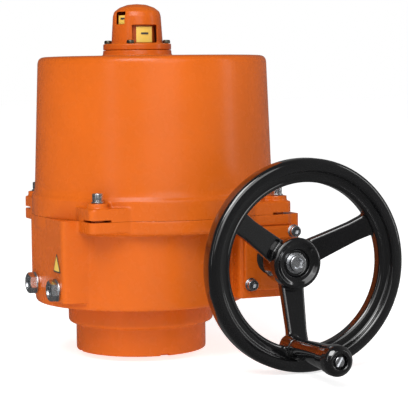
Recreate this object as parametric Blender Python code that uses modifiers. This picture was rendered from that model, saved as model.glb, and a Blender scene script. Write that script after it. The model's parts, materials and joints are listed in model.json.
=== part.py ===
"""Motorized quarter-turn valve actuator with a handwheel, as an assembly of separate pieces.

The origin is the centre of the valve mounting face. +Z runs up the valve stem, the handwheel
shaft runs along -Y, and the cable entries look along -X. Dimensions below are in millimetres.
"""

import math

import bmesh
import bpy
from mathutils import Matrix, Vector

MM = 0.001
GAP = 0.3                    # air left between pieces that would touch
LARGE, MEDIUM, SMALL, TINY = 36, 20, 12, 8     # sides on round shapes, by size

# Housing
BOSS_R, BOSS_TOP = 62.5, 27.2
RING_R = 69.8
NECK_R, NECK_BOTTOM = 101.0, 48.0
FLOOR_Z = 56.0
WALL = 8.0
SEAM_Z = 132.0
COVER_X = 15.0               # the cover's axis is this far from the stem axis
RIM_R, RIM_BOTTOM = 117.3, 118.5
RECESS_R, RECESS_Z = 104.0, 125.0
EAR_HALF = 100.0             # half the side of the square whose corners are the ears
EAR_SCREW = 89.0
BOX_LEFT, BOX_FRONT, BOX_BACK = -101.0, -67.5, 30.0
SHAFT_BOX_LEFT, SHAFT_BOX_RIGHT = 61.5, 123.5
SHAFT_BOX_FRONT, SHAFT_BOX_BACK = -98.0, 75.0
BORE_R = 30.0
FLANGE_HOLES_R = 51.0        # ISO 5211 F10: four M10 holes on a 102 mm circle
SOCKET = 27.0                # square across flats for the valve stem

# Cover and position indicator
COVER_TOP = 281.5
EAR_TOP = 144.0
SEAT_TOP = 149.0
CAP_SEAT_TOP = 286.6
CAP_FLANGE_R, CAP_FLANGE_TOP = 33.0, 292.7
CAP_TOP = 330.7
CAP_SCREWS_R = 28.6
CAP_SCREW_ANGLES = (-123.5, -33.5, 56.5, 146.5)

# Worm drive
WORM_X, WORM_Z = 92.5, 92.2
WORM_MODULE = 3.75
WHEEL_TEETH = 40
WHEEL_WIDTH = 20.0
WHEEL_R = WORM_MODULE * WHEEL_TEETH / 2
WORM_R = WORM_X - WHEEL_R
WORM_LEAD = math.pi * WORM_MODULE
WORM_BACKLASH = 0.3
PRESSURE_ANGLE = math.radians(20)

# Spur gears between the motor and the worm shaft
GEAR_MODULE = 1.875
GEAR_BACKLASH = 0.15
SHAFT_TEETH, IDLER_TEETH, MOTOR_TEETH = 24, 32, 13
GEAR_Y, GEAR_WIDTH = 54.0, 8.0
IDLER_DIRECTION = math.radians(117.2)     # from the worm shaft to the idler
MOTOR_DIRECTION = math.radians(118.5)     # from the idler to the motor

# Handwheel
HUB_R, HUB_FRONT, HUB_BACK = 23.4, -157.0, -127.5
RIM_CENTRE_R, RIM_BEAD_R, RIM_Y = 85.4, 11.0, -168.6
SPOKE_ANGLES = (-93.4, 26.6, 146.6)
HANDLE_X, HANDLE_Z = 80.2, 20.0
GRIP_START, GRIP_END = -180.3, -262.0

# Limit switches
CAM_LEVELS = {"lower": 217.0, "upper": 235.0}
LEVER_X, LEVER_Y = -27.5, -11.0

ORANGE = ("orange_enamel", (0.75, 0.17, 0.02), 0.35, 0.0)
BLACK = ("black_phenolic", (0.012, 0.012, 0.013), 0.12, 0.0)
ZINC = ("bright_zinc", (0.62, 0.63, 0.65), 0.25, 1.0)
STEEL = ("machined_steel", (0.45, 0.46, 0.48), 0.35, 1.0)
BRONZE = ("bronze", (0.55, 0.33, 0.12), 0.35, 1.0)
RUBBER = ("black_rubber", (0.02, 0.02, 0.02), 0.8, 0.0)
YELLOW = ("yellow_plastic", (0.85, 0.62, 0.06), 0.4, 0.0)
DARK = ("dark_plastic", (0.04, 0.04, 0.045), 0.5, 0.0)
GREY = ("grey_plastic", (0.35, 0.36, 0.37), 0.5, 0.0)
GREEN = ("green_board", (0.02, 0.18, 0.07), 0.5, 0.0)
MOTOR = ("motor_enamel", (0.10, 0.11, 0.12), 0.45, 0.3)


def clear_scene():
    for old in list(bpy.data.objects):
        bpy.data.objects.remove(old, do_unlink=True)


def new_collection(name):
    collection = bpy.data.collections.new(name)
    bpy.context.scene.collection.children.link(collection)
    return collection


def material_for(look):
    name, colour, roughness, metallic = look
    material = bpy.data.materials.get(name)
    if material is None:
        material = bpy.data.materials.new(name)
        material.use_nodes = True
        shader = material.node_tree.nodes["Principled BSDF"]
        shader.inputs["Base Color"].default_value = (*colour, 1)
        shader.inputs["Roughness"].default_value = roughness
        shader.inputs["Metallic"].default_value = metallic
    return material


def new_object(name, mesh, look):
    """A part when it has a look, else a hidden tool for a Boolean."""
    thing = bpy.data.objects.new(name, mesh)
    if look:
        PARTS.objects.link(thing)
        mesh.materials.append(material_for(look))
    else:
        TOOLS.objects.link(thing)
        thing.hide_render = True
        thing.display_type = "WIRE"
    return thing


def from_bmesh(name, shape, look):
    mesh = bpy.data.meshes.new(name)
    shape.to_mesh(mesh)
    shape.free()
    return new_object(name, mesh, look)


def place(thing, at, direction):
    """Puts the object's origin at a point in mm, with its local Z along direction."""
    thing.location = Vector(at) * MM
    turns = {"Z": (0, 0), "-Y": (90, 0), "Y": (-90, 0), "X": (0, 90), "-X": (0, -90)}
    about_x, about_y = turns[direction]
    thing.rotation_euler = (math.radians(about_x), math.radians(about_y), 0)
    return thing


def smooth(thing, angle=40):
    thing.data.shade_smooth()
    thing.data.set_sharp_from_angle(angle=math.radians(angle))
    return thing


def rod(name, at, length, radius, look=None, direction="Z", sides=MEDIUM, end_radius=None):
    """A cylinder or cone from a point, along a direction."""
    shape = bmesh.new()
    bmesh.ops.create_cone(
        shape,
        cap_ends=True,
        segments=sides,
        radius1=radius * MM,
        radius2=(radius if end_radius is None else end_radius) * MM,
        depth=length * MM,
        matrix=Matrix.Translation((0, 0, length * MM / 2)),
    )
    return place(smooth(from_bmesh(name, shape, look)), at, direction)


def block(name, low, high, look=None, bevel=0.0, upright_only=False):
    """A box between two corners, with all or only its upright edges rounded."""
    low, high = Vector(low), Vector(high)
    shape = bmesh.new()
    bmesh.ops.create_cube(shape, size=1)
    bmesh.ops.scale(shape, vec=(high - low) * MM, verts=shape.verts)
    if bevel:
        edges = [e for e in shape.edges if not upright_only or is_upright(e)]
        bmesh.ops.bevel(shape, geom=edges, offset=bevel * MM, segments=3, profile=0.5, affect="EDGES")
    thing = from_bmesh(name, shape, look)
    thing.location = (low + high) / 2 * MM
    return thing


def is_upright(edge):
    start, end = edge.verts
    return abs(start.co.z - end.co.z) > abs((start.co - end.co).xy.length)


def turned(name, profile, at=(0, 0, 0), direction="Z", look=None, sides=LARGE, closed=False):
    """A profile of (radius, height) points, turned about the local Z axis."""
    mesh = bpy.data.meshes.new(name)
    points = [(radius * MM, 0, height * MM) for radius, height in profile]
    edges = [(i, i + 1) for i in range(len(points) - 1)]
    if closed:
        edges.append((len(points) - 1, 0))
    mesh.from_pydata(points, edges, [])
    thing = place(new_object(name, mesh, look), at, direction)
    screw = thing.modifiers.new("Turn", "SCREW")
    screw.steps = sides
    screw.render_steps = sides
    screw.use_merge_vertices = True
    screw.merge_threshold = 1e-5
    return thing


def ring(name, inner, outer, low, high, at=(0, 0, 0), direction="Z", look=None, sides=MEDIUM):
    """A plain ring between two heights along its axis."""
    profile = [(outer, high), (outer, low), (inner, low), (inner, high)]
    return turned(name, profile, at, direction, look, sides, closed=True)


def boolean(target, operation, *tools):
    for tool in tools:
        step = target.modifiers.new(operation.title(), "BOOLEAN")
        step.operation = operation
        step.object = tool
        step.solver = "EXACT"
    return target


def cut(target, *tools):
    return boolean(target, "DIFFERENCE", *tools)


def join(target, *tools):
    return boolean(target, "UNION", *tools)


def polar(radius, angle, centre=(0, 0)):
    """A point on a circle; the angle is in radians."""
    return centre[0] + radius * math.cos(angle), centre[1] + radius * math.sin(angle)


def arc(radius, start, end, steps, centre=(0, 0)):
    """Points on an arc; the angles are in degrees."""
    return [
        polar(radius, math.radians(start + (end - start) * i / steps), centre)
        for i in range(steps + 1)
    ]


# ---------------------------------------------------------------- gears

def involute_angle(radius, base):
    """How far the flank has turned away from its start on the base circle."""
    if radius <= base:
        return 0.0
    tangent = math.sqrt((radius / base) ** 2 - 1)
    return tangent - math.atan(tangent)


def gear_outline(teeth, module, backlash, phase):
    """The outline of an involute gear with a tooth centred on the phase angle."""
    pitch = teeth * module / 2
    base = pitch * math.cos(PRESSURE_ANGLE)
    root, tip = pitch - 1.1 * module, pitch + 0.8 * module
    half_at_pitch = math.pi / (2 * teeth) - backlash / (2 * pitch)
    half_at_base = half_at_pitch + involute_angle(pitch, base)
    radii = [root, pitch, tip]
    outline = []
    for tooth in range(teeth):
        centre = phase + 2 * math.pi * tooth / teeth
        halves = [half_at_base - involute_angle(radius, base) for radius in radii]
        outline += [polar(r, centre - h) for r, h in zip(radii, halves)]
        outline += [polar(r, centre + h) for r, h in reversed(list(zip(radii, halves)))]
    return outline


def plate(name, outline, low, high, look=None, twist=0.0):
    """An outline pushed along local Z, turning by twist radians on the way."""
    shape = bmesh.new()
    rings = []
    for height, turn in ((low, -twist / 2), (high, twist / 2)):
        spin = Matrix.Rotation(turn, 3, "Z")
        rings.append([shape.verts.new(spin @ Vector((x, y, height)) * MM) for x, y in outline])
    bottom, top = rings
    count = len(outline)
    for i in range(count):
        j = (i + 1) % count
        shape.faces.new((bottom[i], bottom[j], top[j], top[i]))
    shape.faces.new(top)
    shape.faces.new(reversed(bottom))
    return from_bmesh(name, shape, look)


def spur_gear(name, teeth, at, phase, bore, look):
    """A spur gear in the XZ plane with a bore, its origin on its own axis."""
    outline = gear_outline(teeth, GEAR_MODULE, GEAR_BACKLASH, phase)
    gear = plate(name, outline, -GEAR_WIDTH / 2, GEAR_WIDTH / 2, look)
    place(gear, at, "-Y")
    start = (at[0], at[1] + GEAR_WIDTH, at[2])
    return cut(gear, rod(name + "_bore", start, 2 * GEAR_WIDTH, bore, direction="-Y"))


def meshing_phase(driver_teeth, driver_phase, driven_teeth, direction):
    """The phase that puts the driven gear's gap on the driver's tooth along a direction."""
    pitch_angle = 2 * math.pi / driver_teeth
    offset = (driver_phase - direction) % pitch_angle
    gap = direction + math.pi - offset * driver_teeth / driven_teeth
    return gap + math.pi / driven_teeth


def worm_thread(name, look=None):
    """One trapezoid ridge wound round the worm shaft, ending square at both ends."""
    core, tip = WORM_R - 1.1 * WORM_MODULE - 0.6, WORM_R + 0.8 * WORM_MODULE
    turns, steps = 3.75, 14
    half_at_pitch = WORM_LEAD / 4 - WORM_BACKLASH / 2
    slope = math.tan(PRESSURE_ANGLE)
    halves = {r: half_at_pitch - (r - WORM_R) * slope for r in (core, tip)}
    section = [(core, -halves[core]), (tip, -halves[tip]), (tip, halves[tip]), (core, halves[core])]
    shape = bmesh.new()
    loops = []
    count = round(turns * steps)
    for i in range(count + 1):
        along = WORM_LEAD * turns * (i / count - 0.5)
        angle = math.pi + 2 * math.pi * along / WORM_LEAD
        loop = []
        for radius, shift in section:
            x, y = polar(radius, angle)
            loop.append(shape.verts.new(Vector((x, y, along + shift)) * MM))
        loops.append(loop)
    for first, second in zip(loops, loops[1:]):
        for i in range(4):
            j = (i + 1) % 4
            shape.faces.new((first[i], second[i], second[j], first[j]))
    shape.faces.new(loops[0])
    shape.faces.new(reversed(loops[-1]))
    bmesh.ops.recalc_face_normals(shape, faces=shape.faces)
    return from_bmesh(name, shape, look)


# ---------------------------------------------------------------- castings

def ear_positions():
    return [(COVER_X + sx * EAR_SCREW, sy * EAR_SCREW) for sx in (-1, 1) for sy in (-1, 1)]


def make_housing():
    """The lower casting: valve boss, round neck, terminal box, shaft box and the rim."""
    body = turned(
        "housing",
        [(NECK_R, RIM_BOTTOM + 4), (NECK_R, NECK_BOTTOM + 3), (NECK_R - 3, NECK_BOTTOM),
         (RING_R, NECK_BOTTOM), (RING_R, BOSS_TOP + 6), (RING_R - 1.8, BOSS_TOP + 1.8),
         (RING_R - 6, BOSS_TOP), (BOSS_R, BOSS_TOP), (BOSS_R, 2), (BOSS_R - 2, 0),
         (BORE_R, 0), (BORE_R, RIM_BOTTOM + 4)],
        look=ORANGE, sides=LARGE, closed=True)
    rim = turned(
        "rim_form",
        [(0, SEAM_Z + 1), (RIM_R, SEAM_Z + 1), (RIM_R, RIM_BOTTOM + 4.5), (RIM_R - 2, RIM_BOTTOM + 1),
         (RIM_R - 6, RIM_BOTTOM), (0, RIM_BOTTOM)],
        at=(COVER_X, 0, 0), sides=LARGE)
    ears = block("ear_form", (COVER_X - EAR_HALF, -EAR_HALF, RIM_BOTTOM + 3),
                 (COVER_X + EAR_HALF, EAR_HALF, SEAM_Z + 2), bevel=5, upright_only=True)
    terminal_box = block("terminal_box_form", (BOX_LEFT, BOX_FRONT, FLOOR_Z), (-40, BOX_BACK, SEAM_Z + 3),
                         bevel=4.5, upright_only=True)
    shaft_box = block("shaft_box_form", (SHAFT_BOX_LEFT, SHAFT_BOX_FRONT, 54.5),
                      (SHAFT_BOX_RIGHT, SHAFT_BOX_BACK, SEAM_Z + 4), bevel=4, upright_only=True)
    join(body, rim, ears, terminal_box, shaft_box)
    cut(
        body,
        block("seam_trim", (-200, -200, SEAM_Z), (200, 200, SEAM_Z + 20)),
        rod("neck_hollow", (0, 0, FLOOR_Z), RECESS_Z + 0.5 - FLOOR_Z, NECK_R - WALL, sides=LARGE),
        rod("cover_recess", (COVER_X, 0, RECESS_Z), 20, RECESS_R, sides=LARGE),
        block("terminal_hollow", (BOX_LEFT + 7, BOX_FRONT + 7, FLOOR_Z + 7),
              (-45, BOX_BACK - 7, RIM_BOTTOM)),
        block("shaft_hollow", (SHAFT_BOX_LEFT + 6, SHAFT_BOX_FRONT + 7, FLOOR_Z + 6),
              (SHAFT_BOX_RIGHT - 6, SHAFT_BOX_BACK - 7, RIM_BOTTOM)),
        block("gear_slot", (40, GEAR_Y - 6.5, 100), (101, GEAR_Y + 6.5, RECESS_Z + 2)),
    )
    join(body, block("bearing_web", (73.5, 32.5, FLOOR_Z + 2), (SHAFT_BOX_RIGHT - 3, 43.5, RIM_BOTTOM + 2)))
    cut(
        body,
        rod("rear_bearing_bore", (WORM_X, 46, WORM_Z), 16, 17.3, direction="-Y"),
        rod("front_bearing_bore", (WORM_X, -85, WORM_Z), 20, 20, direction="-Y"),
        ring("gasket_groove", 109.7, 113.3, SEAM_Z - 2.3, SEAM_Z + 1, at=(COVER_X, 0, 0), sides=LARGE),
        rod("spigot_recess", (0, 0, -1), 4, 35.2, sides=MEDIUM),
        block("shaft_cover_pocket", (WORM_X - 28, -115, 110), (WORM_X + 31, SHAFT_BOX_FRONT - 0.2, 122.8)),
    )
    for i in range(4):
        quarter = math.radians(90 * i)
        x, y = polar(FLANGE_HOLES_R, quarter + math.pi / 4)
        cut(body, rod(f"flange_hole_{i}", (x, y, -1), 21, 4.3, sides=TINY))
        notch = block(f"notch_{i}", (55, -5, -1), (66, 5, 3))
        notch.matrix_world = Matrix.Rotation(quarter, 4, "Z") @ Matrix.Translation(notch.location)
        cut(body, notch)
    for i, (x, y) in enumerate(ear_positions()):
        cut(body, rod(f"ear_hole_{i}", (x, y, SEAM_Z - 9), 12, 3.4, sides=TINY))
    for i, (x, z) in enumerate(shaft_cover_screws()):
        cut(body, rod(f"shaft_cover_hole_{i}", (x, SHAFT_BOX_FRONT + 6, z), 10, 3.4,
                      direction="-Y", sides=TINY))
    for i, y in enumerate(plug_rows()):
        cut(body, rod(f"entry_{i}", (BOX_LEFT + 10, y, 67.5), 12, 8.0, direction="-X", sides=SMALL))
    return smooth(body)


def shaft_cover_screws():
    return [(WORM_X + sx * 22.1, WORM_Z + sz * 24) for sx in (-1, 1) for sz in (-1, 1)]


def plug_rows():
    middle = (BOX_FRONT + BOX_BACK) / 2
    return (middle - 32, middle + 32)


def make_cover():
    """The tapered can, its ears and the round seat of the indicator."""
    bottom = SEAM_Z + GAP
    shell = turned(
        "cover",
        [(0, COVER_TOP), (99, COVER_TOP - 0.4), (104.5, COVER_TOP - 2), (108.2, COVER_TOP - 5.5),
         (109.7, COVER_TOP - 10.5), (114.4, 157), (115.4, 153.5), (RIM_R, 150.5), (RIM_R, bottom - 1),
         (108, bottom - 1), (108, 150), (104.8, 270), (99, COVER_TOP - 5.4), (0, COVER_TOP - 5)],
        at=(COVER_X, 0, 0), look=ORANGE, sides=LARGE)
    ears = block("cover_ears", (COVER_X - EAR_HALF, -EAR_HALF, bottom - 2),
                 (COVER_X + EAR_HALF, EAR_HALF, EAR_TOP), bevel=5, upright_only=True)
    join(shell, ears)
    for i, (x, y) in enumerate(ear_positions()):
        seat = rod(f"screw_seat_{i}", (x, y, bottom + 1), SEAT_TOP - bottom - 1, 9.5, sides=SMALL)
        rib = block(f"screw_rib_{i}", (-9, -20, bottom + 2), (9, 0, SEAT_TOP - 0.6))
        turn = math.atan2(y, x - COVER_X) - math.pi / 2
        rib.matrix_world = (Matrix.Translation((x * MM, y * MM, 0)) @ Matrix.Rotation(turn, 4, "Z")
                            @ Matrix.Translation(rib.location))
        join(shell, seat, rib)
    join(
        shell,
        rod("indicator_seat_low", (0, 0, COVER_TOP - 3.5), 5.8, 34.4, sides=MEDIUM),
        rod("indicator_seat", (0, 0, COVER_TOP - 3), CAP_SEAT_TOP - COVER_TOP + 3, 33.5, sides=MEDIUM),
    )
    cut(
        shell,
        block("cover_trim", (-200, -200, bottom - 20), (200, 200, bottom)),
        rod("cover_hollow", (COVER_X, 0, bottom - 1), 18.7, 109.5, sides=LARGE),
        rod("indicator_hole", (0, 0, COVER_TOP - 20), 40, 10.5, sides=MEDIUM),
        rod("indicator_recess", (0, 0, CAP_SEAT_TOP - 2), 4, 25, sides=MEDIUM),
    )
    for i, (x, y) in enumerate(ear_positions()):
        side_x, side_y = math.copysign(1, x - COVER_X), math.copysign(1, y)
        slot = block(f"pry_slot_{i}", (x - 11, y - 11, bottom - 1), (x + 11, y + 11, bottom + 2))
        slot.location.x += 2 * side_x * MM
        slot.location.y += 2 * side_y * MM
        cut(shell, slot, rod(f"cover_hole_{i}", (x, y, bottom - 1), 30, 3.4, sides=TINY))
    for i, angle in enumerate(CAP_SCREW_ANGLES):
        x, y = polar(CAP_SCREWS_R, math.radians(angle))
        cut(shell, rod(f"cap_thread_{i}", (x, y, COVER_TOP - 1), 10, 2.3, sides=TINY))
    return smooth(shell)


def make_indicator_cap():
    """The small dome over the position drum, with two low and two high windows."""
    base = CAP_SEAT_TOP + GAP
    cap = turned(
        "indicator_cap",
        [(0, CAP_TOP), (8, CAP_TOP - 0.7), (15, CAP_TOP - 2.6), (19.5, CAP_TOP - 5),
         (21.9, CAP_TOP - 7.6), (22.8, CAP_TOP - 10.7), (24.6, CAP_FLANGE_TOP), (CAP_FLANGE_R, CAP_FLANGE_TOP),
         (CAP_FLANGE_R, base), (22.2, base), (22.2, CAP_FLANGE_TOP), (20.9, 321.5), (17, 325), (0, 327.5)],
        look=ORANGE, sides=MEDIUM)
    for i in range(2):
        low = block(f"low_window_{i}", (-13, -30, CAP_FLANGE_TOP + 0.6), (13, -15, 310.2))
        high = block(f"high_window_{i}", (-6.2, -30, 311), (6.2, -14, 323))
        for window, turn in ((low, 180 * i), (high, 180 * i - 67)):
            spin = Matrix.Rotation(math.radians(turn), 4, "Z")
            window.matrix_world = spin @ Matrix.Translation(window.location)
            cut(cap, window)
    for i, angle in enumerate(CAP_SCREW_ANGLES):
        x, y = polar(CAP_SCREWS_R, math.radians(angle))
        cut(cap, rod(f"cap_hole_{i}", (x, y, base - 1), 10, 2.4, sides=TINY))
    return smooth(cap)


# ---------------------------------------------------------------- fasteners and seals

def make_cap_screw(name, at, direction, shank, head_r, head_h, length, washer=0.0, look=ZINC):
    """A socket head screw; its origin is under the head, on the seat."""
    profile = [(0, washer + head_h), (head_r, washer + head_h)]
    if washer:
        profile += [(head_r, washer), (head_r + 1, washer), (head_r + 1, 0)]
    else:
        profile += [(head_r, 0)]
    profile += [(shank, 0), (shank, -length), (0, -length)]
    return smooth(turned(name, profile, at, direction, look, sides=TINY))


def make_screws():
    for i, (x, y) in enumerate(ear_positions()):
        make_cap_screw(f"cover_screw_{i + 1}", (x, y, SEAT_TOP + GAP), "Z", 3.0, 5.0, 6.0,
                       SEAT_TOP + GAP - SEAM_Z + 7, washer=2.6)
    for i, (x, z) in enumerate(shaft_cover_screws()):
        make_cap_screw(f"shaft_cover_screw_{i + 1}", (x, SHAFT_BOX_FRONT - 5.3, z), "-Y",
                       3.0, 5.2, 4.5, 10, washer=1.2)
    for i, angle in enumerate(CAP_SCREW_ANGLES):
        x, y = polar(CAP_SCREWS_R, math.radians(angle))
        make_cap_screw(f"indicator_screw_{i + 1}", (x, y, CAP_FLANGE_TOP + GAP), "Z", 2.0, 3.6, 3.2, 11)


def make_cable_plugs():
    for i, y in enumerate(plug_rows()):
        name = f"cable_plug_{i + 1}"
        at = (BOX_LEFT - GAP, y, 67.5)
        plug = rod(name, at, 1.6, 10.4, ZINC, "-X", SMALL)
        join(plug,
             rod(name + "_hex", (at[0] - 0.8, y, 67.5), 7.4, 10.2, direction="-X", sides=6),
             rod(name + "_shank", (at[0] + 9, y, 67.5), 10, 7.6, direction="-X", sides=SMALL))
        cut(plug, rod(name + "_socket", (at[0] - 4, y, 67.5), 6, 4.6, direction="-X", sides=6))


def make_seals_and_bearings():
    ring("cover_gasket", 110.1, 112.9, SEAM_Z - 2, SEAM_Z, at=(COVER_X, 0, 0), look=RUBBER, sides=LARGE)
    ring("indicator_gasket", 22.4, 24.7, 0, 1.6, at=(0, 0, CAP_SEAT_TOP - 1.7), look=RUBBER, sides=MEDIUM)
    ring("indicator_shaft_seal", 6.3, 10.2, 0, 6, at=(0, 0, COVER_TOP - 4.5), look=RUBBER, sides=MEDIUM)
    ring("output_bush", 25.3, BORE_R - GAP, 12, FLOOR_Z - 2, look=BRONZE)
    ring("output_seal", 25.3, BORE_R - GAP, 5, 11.5, look=RUBBER)
    ring("thrust_washer", 25.4, 40, FLOOR_Z + GAP, FLOOR_Z + 2.8, look=BRONZE)
    ring("front_bearing", 10.3, 19.7, 88, 97.6, at=(WORM_X, 0, WORM_Z), direction="-Y", look=STEEL)
    ring("rear_bearing", 8.8, 17.0, -43, -33, at=(WORM_X, 0, WORM_Z), direction="-Y", look=STEEL)
    ring("shaft_seal", 10.3, 15.7, 98.7, 102.8, at=(WORM_X, 0, WORM_Z), direction="-Y", look=RUBBER)


def make_shaft_cover():
    """The flat plate that closes the shaft box and holds the front bearing."""
    low = (WORM_X - 27.5, SHAFT_BOX_FRONT - 5, WORM_Z - 29.8)
    high = (WORM_X + 27.5, SHAFT_BOX_FRONT - GAP, WORM_Z + 29.3)
    cover = block("shaft_cover", low, high, ORANGE)
    cut(cover, rod("shaft_cover_bore", (WORM_X, -90, WORM_Z), 20, 16, direction="-Y"))
    for i, (x, z) in enumerate(shaft_cover_screws()):
        cut(cover, rod(f"shaft_cover_clear_{i}", (x, -90, z), 20, 3.4, direction="-Y", sides=TINY))


# ---------------------------------------------------------------- output train

def make_output():
    drive = turned(
        "output_drive",
        [(0, 104), (24.7, 104), (24.7, 81.9), (36, 81.9), (36, FLOOR_Z + 3.1), (24.7, FLOOR_Z + 3.1),
         (24.7, 1.5), (0, 1.5)],
        look=STEEL, sides=MEDIUM)
    half = SOCKET / 2
    cut(drive,
        block("stem_socket", (-half, -half, 0), (half, half, 51.5)),
        rod("indicator_bore", (0, 0, 70), 40, 6.3, sides=SMALL))
    outline = gear_outline(WHEEL_TEETH, WORM_MODULE, WORM_BACKLASH, math.pi / WHEEL_TEETH)
    lead_slope = WORM_LEAD / (2 * math.pi * WORM_R)
    wheel = plate("worm_wheel", outline, -WHEEL_WIDTH / 2, WHEEL_WIDTH / 2, BRONZE,
                  twist=WHEEL_WIDTH * lead_slope / WHEEL_R)
    wheel.location.z = WORM_Z * MM
    cut(wheel, rod("worm_wheel_bore", (0, 0, WORM_Z - 15), 30, 25.0, sides=MEDIUM))
    smooth(rod("indicator_shaft", (0, 0, 72), 244, 6.0, STEEL, sides=SMALL))
    for level, height in CAM_LEVELS.items():
        lobe_at = 200 if level == "lower" else 70
        outline = arc(14, lobe_at + 30, lobe_at + 330, 20) + arc(18, lobe_at - 25, lobe_at + 25, 4)
        cam = plate(f"limit_cam_{level}", outline, -3, 3, YELLOW if level == "lower" else GREY)
        cam.location.z = height * MM
        cut(cam, rod(f"cam_bore_{level}", (0, 0, height - 5), 10, 6.3, sides=SMALL))
    ring("indicator_drum", 6.3, 17.6, 0, 26, at=(0, 0, 294), look=DARK, sides=MEDIUM)
    for level, turn, half, inner, outer, low, high in (
        ("lower", -90, 23, 17.9, 20.6, 294, 308.6), ("upper", -151, 21, 17.9, 19.9, 311.4, 319.5)
    ):
        outline = arc(outer, turn - half, turn + half, 6) + arc(inner, turn + half, turn - half, 6)
        plate(f"position_flag_{level}", outline, low, high, YELLOW)


# ---------------------------------------------------------------- worm shaft and handwheel

def make_worm_shaft():
    """The worm shaft; its local Z points out of the front of the actuator."""
    core = WORM_R - 1.1 * WORM_MODULE
    shaft = turned(
        "worm_shaft",
        [(0, 149.5), (7.7, 149.5), (7.7, 127), (10, 127), (10, 87.5), (13, 87.5), (13, 80), (10, 80),
         (10, 33), (core, 33), (core, -32), (8.5, -32), (8.5, -66), (0, -66)],
        at=(WORM_X, 0, WORM_Z), direction="-Y", look=STEEL, sides=MEDIUM)
    thread = place(worm_thread("worm_thread"), (WORM_X, 0, WORM_Z), "-Y")
    join(shaft, thread)
    return smooth(shaft)


def make_spoke(name, angle):
    """A flat arm from the hub out to the rim, dished forward towards the rim."""
    outline = [(12, -12), (60, -9.6), (80, -11), (80, 11), (60, 9.6), (12, 12)]
    arm = plate(name, outline, -4.5, 4.5)
    for vertex in arm.data.vertices:
        along = (vertex.co.x / MM - 12) / 68
        vertex.co.z += (141 + 24 * along) * MM
    place(arm, (WORM_X, 0, WORM_Z), "-Y")
    arm.rotation_euler = (Matrix.Rotation(math.radians(90), 3, "X")
                          @ Matrix.Rotation(math.radians(angle), 3, "Z")).to_euler()
    return arm


def make_handwheel():
    """The three-spoke wheel: its origin is on the shaft axis."""
    at = (WORM_X, 0, WORM_Z)
    bead = arc(RIM_BEAD_R, 180, -140, 8, centre=(RIM_CENTRE_R, -RIM_Y))
    wheel = turned("handwheel", bead, at, "-Y", BLACK, sides=LARGE, closed=True)
    hub = turned(
        "hub_form",
        [(0, -HUB_FRONT - 6), (13, -HUB_FRONT - 6), (13.5, -HUB_FRONT), (HUB_R - 1.5, -HUB_FRONT),
         (HUB_R, -HUB_FRONT - 1.5), (HUB_R, 147), (21.5, 145), (21.5, -HUB_BACK), (0, -HUB_BACK)],
        at, "-Y", sides=MEDIUM)
    boss = rod("handle_boss", (HANDLE_X, -158, HANDLE_Z), 22, 9, direction="-Y", sides=SMALL)
    join(wheel, *[make_spoke(f"spoke_form_{i}", angle) for i, angle in enumerate(SPOKE_ANGLES)], hub, boss)
    cut(wheel,
        rod("hub_bore", (WORM_X, -120, WORM_Z), 40, 8.0, direction="-Y"),
        rod("spindle_bore", (HANDLE_X, -168, HANDLE_Z), 20, 4.3, direction="-Y", sides=TINY))
    smooth(wheel)
    hub_bolt = rod("hub_bolt", (WORM_X, -151.3, WORM_Z), 1.6, 10.5, ZINC, "-Y", SMALL)
    join(hub_bolt, rod("hub_bolt_hex", (WORM_X, -152, WORM_Z), 6.2, 7.5, direction="-Y", sides=6,
                       end_radius=7.0))
    length = -GRIP_END + GRIP_START
    spindle = [(0, length - 2), (4.8, length - 2), (4.8, length - 5), (4.0, length - 5), (4.0, -11), (0, -11)]
    turned("handle_spindle", spindle, (HANDLE_X, GRIP_START, HANDLE_Z), "-Y", ZINC, sides=TINY)
    grip = [(8.6, length), (11.9, length - 3), (13.3, length - 9), (12.7, length - 16), (11.0, length - 30),
            (8.8, 12), (8.2, 4), (9.0, 0), (4.4, 0), (4.4, length - 5.4), (6.0, length - 5.4), (6.0, length)]
    smooth(turned("handle_grip", grip, (HANDLE_X, GRIP_START, HANDLE_Z), "-Y", BLACK, MEDIUM, closed=True))


# ---------------------------------------------------------------- motor and its gears

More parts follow.
